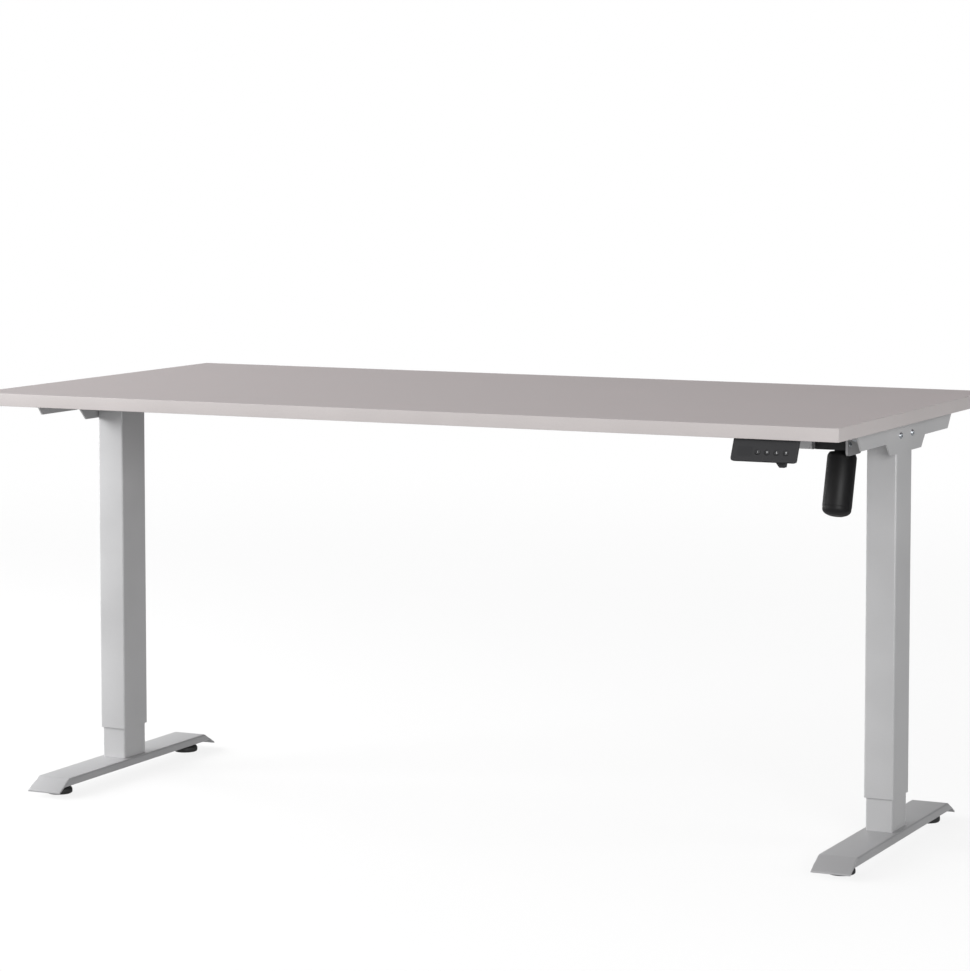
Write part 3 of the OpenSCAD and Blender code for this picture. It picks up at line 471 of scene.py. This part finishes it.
def cross_head(radius, height, shank, length):
    """A wood screw's pan head: a dome with a cross recess, deepest in the middle and as wide as two bars."""
    r = np.concatenate([np.linspace(0.01, radius * 0.62, 9), np.linspace(radius * 0.7, radius, 5)])[:, None]
    angle = (np.arange(48) * np.pi / 24)[None, :]
    arm = np.minimum(abs(np.cos(angle)), abs(np.sin(angle))) * r
    cut = np.clip((0.75 - arm) / 0.25, 0, 1) * np.clip((radius * 0.6 - r) / 0.6, 0, 1) * height * 0.55
    z = height * (1 - 0.55 * (r / radius) ** 2) - cut
    head = np.stack([r * np.cos(angle), r * np.sin(angle), z], -1)
    rings = [np.stack([q * np.cos(angle[0]), q * np.sin(angle[0]), np.full(48, level)], -1)
             for q, level in ((radius, 0.0), (shank, 0.0), (shank, -length))]
    return skin(np.concatenate([head, np.array(rings)]))


def hex_head(radius, height, shank, length):
    """A hexagon head whose outer corners are turned off by a cone, on a plain shank."""
    profile = [(0, height), (radius * 0.80, height), (radius * 0.97, height * 0.8), (radius, height * 0.7),
               (radius, 0), (shank, 0), (shank, -length), (0, -length)]
    return lathe(profile, 36, [0, 0, 0.9, 1, 1, 0, 0, 0])


RAIL_Y, BRACKET_FACE = 60.0, span("right_side_bracket")[1][0]
COLUMN_Z = UNDER - 21.0
SHEET_Z = UNDER - 3.0
# Half the distance between a column's two screws, places of the rails' screws along X with their drop
# below the sheet, and the same for the screws that lock the sleeves
COLUMN_PITCH, RAIL_X, RAIL_DROP = 30, (-709, 709, 652), 25.0
SLEEVE_X, SLEEVE_DROP = 340, 27.5
frame_m6 = button_head(5.5, 3.3, 3.0, 12.0, 2.3)
sleeve_m6 = button_head(5.5, 3.3, 3.0, 4.0, 2.3)
places = [(frame_m6, (s * BRACKET_FACE, y, COLUMN_Z), (s, 0, 0)) for s in (-1, 1)
          for y in (-COLUMN_PITCH, COLUMN_PITCH)]
places += [(frame_m6, (x, y, SHEET_Z - RAIL_DROP), (0, 0, -1)) for x in RAIL_X
           for y in (-RAIL_Y, RAIL_Y)]
places += [(sleeve_m6, (x, y, SHEET_Z - SLEEVE_DROP), (0, 0, -1)) for x in (-SLEEVE_X, SLEEVE_X)
           for y in (-RAIL_Y, RAIL_Y)]
piece("frame_screw_heads", joined(*[moved(s, at, facing(a)) for s, at, a in places]), zinc, "desk_top",
      ["frame_screws"])

handset_low, handset_high = span("handset_case")
HANDSET_X = (handset_low[0] + handset_high[0]) / 2
HANDSET_BACK = handset_high[1] - 14.0
box_low, box_high = span("control_box_lid")
wood = cross_head(5.0, 3.0, 2.2, 12.0)
# Wood screws: along the brackets' flanges, through the handset's ears and through the box's ears
FLANGE, BRACKET_Y, EAR_X, EAR_Y, BOX_EAR_X, BOX_EAR_Y = 22, (-230, -150, 150, 230), 14, 6, 12, 6
spots = [(s * (BRACKET_FACE - FLANGE), y) for s in (-1, 1) for y in BRACKET_Y]
spots += [(HANDSET_X + s * EAR_X, HANDSET_BACK + EAR_Y) for s in (-1, 1)]
spots += [(x, y) for x in (box_low[0] + BOX_EAR_X, box_high[0] - BOX_EAR_X)
          for y in (box_low[1] - BOX_EAR_Y, box_high[1] + BOX_EAR_Y)]
piece("desktop_screw_heads", joined(*[moved(wood, (x, y, SHEET_Z), facing((0, 0, -1))) for x, y in spots]),
      zinc, "desk_top", ["desktop_screws"])

cheeks_low, cheeks_high = span("motor_screws")
SHAFT_Z = UNDER - 26.0
# Screws in the motor bracket's cheeks, from the shaft's axis in Y and Z, and how far their heads stand out
CHEEK_SPOTS, M5_HEAD = ((-20, -15), (33, -21)), 2.5
m5 = button_head(4.5, M5_HEAD, 2.5, 10.0, 1.7)
piece("motor_screw_heads", joined(*[moved(m5, (x, y, SHAFT_Z + z), facing((s, 0, 0)))
                                    for s, x in ((-1, cheeks_low[0] + M5_HEAD), (1, cheeks_high[0] - M5_HEAD))
                                    for y, z in CHEEK_SPOTS]),
      zinc, "desk_top", ["motor_screws"])

# Foot bolts: height of the head, and half their pitch in X and Y
M8_HEAD, BOLT_X, BOLT_Y = 5.0, 14, 24
m8 = hex_head(7.0, M8_HEAD, 4.0, 8.0)
for side, body in (("left", "left_base"), ("right", "right_base")):
    low, high = span(side + "_foot_bolts")
    x = (low[0] + high[0]) / 2
    piece(side + "_foot_bolt_heads", joined(*[moved(m8, (x + dx, dy, low[2] + M8_HEAD), facing((0, 0, -1)))
                                              for dx in (-BOLT_X, BOLT_X) for dy in (-BOLT_Y, BOLT_Y)]),
          zinc, body, [side + "_foot_bolts"])


# ---------- Levelling glides ----------

def thread(radius, low, high, pitch=1.25, depth=0.6):
    """A threaded rod: its radius falls by the thread's depth as a triangle wave of the turn plus the height
    over the pitch, so that the crest climbs one pitch a turn."""
    count, rows = 24, int((high - low) / pitch * 8) + 1
    z = np.linspace(low, high, rows)[:, None]
    angle = (np.arange(count) * 2 * np.pi / count)[None, :]
    phase = np.mod(z / pitch - angle / (2 * np.pi), 1.0)
    r = radius - depth * abs(2 * phase - 1)
    grid = np.stack([r * np.cos(angle), r * np.sin(angle), np.broadcast_to(z, r.shape)], -1)
    return skin(grid)


pad = lathe(eased([(0, 1.2), (14, 1.2), (15.5, 0), (21.0, 0), (23, 2.0), (23, 8.6), (18.5, 12.4), (9.5, 12.6),
                   (8, 13.2), (8, 15.5), (4.2, 15.5), (0, 15.5)],
                  [0, .6, .6, .8, .9, 1.6, 1.2, .6, .5, .6, .4, 0], 3), 72, flutes=24, depth=0.35)
# Radius of a glide's stem, and the height at which it leaves the pad
STEM_R, STEM_FROM = 4.0, 15.0
for corner in ("left_front", "left_rear", "right_front", "right_rear"):
    cad_name = corner + "_glide"
    low, high = span(cad_name)
    at = ((low[0] + high[0]) / 2, (low[1] + high[1]) / 2, 0)
    piece(cad_name + "_pad", moved(pad, at), glide_pe, cad_name, [cad_name])
    piece(cad_name + "_stem", moved(thread(STEM_R, STEM_FROM, high[2]), at), zinc, cad_name)


# ---------- Motor and gear case ----------

# The worm's place along X, its lean in degrees, and its distance from the cross shaft
MOTOR_X, LEAN, WORM_STEP = 660.0, -16.0, 25.0


def on_worm_axis(shape):
    """Puts a shape made round +Z on the worm's axis, level with the cross shaft."""
    return moved(moved(shape, (0, WORM_STEP, 0)), (MOTOR_X, 0, SHAFT_Z), turn_x(LEAN))


# Drawn can: small shoulder, straight wall, and the end cap's rim crimped under it
can = lathe(eased([(0, -28), (22.2, -28), (25, -33.6), (25, -119.9), (0, -119.9)], [0, .8, 2, .5, 0], 4), 96)
cap = lathe(eased([(0, -119.8), (24.5, -119.8), (24.5, -127), (20, -132), (12.4, -134.9), (8, -134.9),
                   (7.4, -134.2), (0, -134.2)], [0, .3, 3.0, 3.0, .8, .3, .3, 0], 5), 96)
piece("motor_can_drawn", on_worm_axis(can), enamel, "desk_top", ["motor_can"])
piece("motor_end_cap_pressed", on_worm_axis(cap), enamel, "desk_top", ["motor_end_cap"])
eased_copy("motor_gear_case", "motor_gear_case_moulded", 1.0, segments=3)
eased_copy("motor_gear_cover", "motor_gear_cover_moulded", 1.0, segments=3)

# Hexagonal cross shaft, its ends chamfered and its long edges lightly broken
shaft_low, shaft_high = span("drive_shaft")
HEX_ACROSS, CHAMFER = 8, 0.6
hex_r = HEX_ACROSS / math.sqrt(3)
shaft_len = shaft_high[0] - shaft_low[0]
bar = lathe([(0, 0), (hex_r - CHAMFER, 0), (hex_r, CHAMFER), (hex_r, shaft_len - CHAMFER),
             (hex_r - CHAMFER, shaft_len), (0, shaft_len)], 6, [0, 1, 1, 1, 1, 0])
along_x = np.array([[0, 0, 1], [0, 1, 0], [-1, 0, 0]])
piece("drive_shaft_hexagon", moved(bar, (shaft_low[0], 0, SHAFT_Z), along_x), ground_steel, "cross_drive",
      ["drive_shaft"], bevel=0.35)


# ---------- Handset ----------

# Lean of the face in degrees, drop of the buttons below the desktop and their height over the case's
# lowest front edge
TILT, BUTTON_DROP, BUTTON_RISE = -26.0, 19.5, 15.5
BUTTON_Z = UNDER - BUTTON_DROP
BUTTON_Y = handset_low[1] + BUTTON_RISE * math.tan(math.radians(-TILT))
FIRST_X, PITCH = HANDSET_X - 11.5, 15.7
# The display window from the case's middle, in X, and half its height
WINDOW_X, WINDOW_HALF = (-46, -20), 8
INK, RECESS = 0.06, 0.62


def on_face(shape, x):
    """Puts a shape made with -Y out of the face, and +Z up along it, at that distance along the handset."""
    return moved(shape, (x, BUTTON_Y, BUTTON_Z), turn_x(TILT))


eased_copy("handset_case", "handset_case_moulded", 1.2, segments=3)
eased_copy("handset_socket", "handset_socket_moulded", 0.8, segments=3)
face_up = BUTTON_Y * math.sin(math.radians(-TILT)) + BUTTON_Z * math.cos(math.radians(-TILT))
acrylic = panel_finish("satin_acrylic_panel", (HANDSET_X + WINDOW_X[0], face_up - WINDOW_HALF),
                       (HANDSET_X + WINDOW_X[1], face_up + WINDOW_HALF), math.radians(-TILT))
eased_copy("handset_panel", "handset_panel_acrylic", 0.25, finish=acrylic)

button = moved(lathe(eased([(0, -0.55), (2.6, -RECESS), (4.1, -0.9), (4.5, -0.5), (4.5, 1.3), (5.5, 1.3),
                            (5.5, 2.3), (4.5, 2.3), (4.5, 5.0), (0, 5.0)],
                           [0, 1, .3, .25, .1, .1, .1, .1, .2, 0], 3), 40),
               turn=[[1, 0, 0], [0, 0, 1], [0, -1, 0]])
stroke = slab([(-.35, -1.6), (.35, -1.6), (.35, 1.6), (-.35, 1.6)], INK)
arrow = slab([(-.4, -1.9), (.4, -1.9), (.4, .1), (1.5, .1), (0, 2.1), (-1.5, .1), (-.4, .1)], INK)
flip = np.diag([1.0, 1.0, -1.0])
MARKS = {"memory_one_button": [stroke],
         "memory_two_button": [moved(stroke, (-.8, 0, 0)), moved(stroke, (.8, 0, 0))],
         "down_button": [moved(arrow, turn=flip)], "up_button": [arrow]}
for i, (cad_name, marks) in enumerate(MARKS.items()):
    x = FIRST_X + i * PITCH
    piece(cad_name + "_cap", on_face(button, x), abs_grain, cad_name, [cad_name])
    piece(cad_name + "_mark", on_face(moved(joined(*marks), (0, -RECESS, 0)), x), ink, cad_name)


# ---------- Control box ----------

for cad_name, width in (("control_box_base", 1.2), ("control_box_lid", 1.2), ("power_inlet", 0.5)):
    eased_copy(cad_name, cad_name + "_moulded", width, segments=3)


# ---------- Stage: floor, light and camera ----------

def studio_floor():
    """A pale floor that takes only a faint shadow: a matt coat over a sheet that lets most light through."""
    bpy.ops.mesh.primitive_circle_add(vertices=128, radius=60.0, fill_type="NGON")
    floor = bpy.context.object
    floor.name = "studio_floor"
    made, tree, out, place = material("pale_studio_floor")
    far = node(tree, "ShaderNodeVectorMath", {0: place}, operation="LENGTH")
    share = node(tree, "ShaderNodeMapRange", {"Value": far.outputs["Value"], "From Min": 1.0, "From Max": 6.0,
                                              "To Min": 0.16, "To Max": 0.0}, interpolation_type="SMOOTHSTEP")
    matt = node(tree, "ShaderNodeBsdfDiffuse", {"Color": colour("FFFFFF")})
    clear = node(tree, "ShaderNodeBsdfTransparent", {"Color": colour("FFFFFF")})
    mix = node(tree, "ShaderNodeMixShader", {0: share.outputs["Result"], 1: clear.outputs[0],
                                             2: matt.outputs[0]})
    tree.links.new(mix.outputs[0], out.inputs["Surface"])
    floor.data.materials.append(made)


def studio_sky():
    """A white backdrop to the camera. To everything else it is a dim floor's glow from below, and above it
    three broad glows from the left, each the cosine to its middle raised to a power."""
    world = bpy.data.worlds.new("white_studio")
    bpy.context.scene.world = world
    world.use_nodes = True
    tree = world.node_tree
    tree.nodes.clear()
    way = node(tree, "ShaderNodeTexCoord").outputs["Generated"]
    total = 0.0
    for middle, power, strength in GLOWS:
        unit = np.array(middle) / np.linalg.norm(middle)
        dot = node(tree, "ShaderNodeVectorMath", {0: way, 1: unit.tolist()}, operation="DOT_PRODUCT")
        ahead = node(tree, "ShaderNodeMath", {0: dot.outputs["Value"], 1: 0.0}, operation="MAXIMUM")
        lobe = node(tree, "ShaderNodeMath", {0: ahead.outputs[0], 1: power}, operation="POWER")
        total = node(tree, "ShaderNodeMath", {0: lobe.outputs[0], 1: strength, 2: total},
                     operation="MULTIPLY_ADD").outputs[0]
    height = node(tree, "ShaderNodeSeparateXYZ", {"Vector": way}).outputs["Z"]
    above = node(tree, "ShaderNodeMath", {0: height, 1: 0.0}, operation="GREATER_THAN").outputs[0]
    seen = node(tree, "ShaderNodeLightPath").outputs["Is Camera Ray"]
    lit = node(tree, "ShaderNodeMix", {0: above, 2: FLOOR_GLOW, 3: total}).outputs[0]
    shown = node(tree, "ShaderNodeMix", {0: seen, 2: lit, 3: 1.0}).outputs[0]
    back = node(tree, "ShaderNodeBackground", {"Color": colour("FFFFFF"), "Strength": shown})
    out = node(tree, "ShaderNodeOutputWorld")
    tree.links.new(back.outputs[0], out.inputs["Surface"])


def softbox(name, centre, target, size, watts):
    """A rectangular soft light at a point, turned to its target; lengths in metres."""
    data = bpy.data.lights.new(name, "AREA")
    data.shape = "RECTANGLE"
    data.size, data.size_y = size
    data.energy = watts
    made = bpy.data.objects.new(name, data)
    bpy.context.scene.collection.objects.link(made)
    made.visible_camera = False
    made.location = centre
    aim = np.array(target, float) - np.array(centre, float)
    flat = math.hypot(aim[0], aim[1])
    made.rotation_euler = (math.atan2(flat, -aim[2]), 0.0, math.atan2(-aim[0], aim[1]))


# Middle, power and strength of each glow
GLOWS = (((-1, 0, 0.15), 2.0, 1.5), ((-0.6, 0.8, 0.15), 3.0, 0.5), ((-0.6, -0.8, 0.15), 3.0, 0.85))
FLOOR_GLOW = 0.33

studio_floor()
studio_sky()
softbox("left_front_softbox", (-3.2, -2.0, 1.9), (0, 0, 0.4), (1.8, 1.8), 90)
softbox("right_front_softbox", (3.2, -4.0, 1.6), (0, 0, 0.4), (1.8, 1.5), 125)
softbox("overhead_softbox", (0, 0, 3.2), (0, 0, 0), (2.6, 1.8), 3)
softbox("left_softbox", (-3.6, 0.3, 1.3), (0, 0, 0.5), (1.8, 1.4), 70)
softbox("right_softbox", (3.8, 0.6, 1.4), (0, 0, 0.4), (1.8, 1.4), 35)
bpy.context.scene.view_settings.view_transform = "Standard"

view = bpy.data.cameras.new("camera")
view.lens = 121.78
view.shift_y = -0.1
view.clip_end = 200.0
camera = bpy.data.objects.new("camera", view)
bpy.context.scene.collection.objects.link(camera)
camera.location = (2.49255, -5.19625, 1.20735)
camera.rotation_euler = (math.pi / 2 - 0.0799, 0.0, 0.4470)
bpy.context.scene.camera = camera
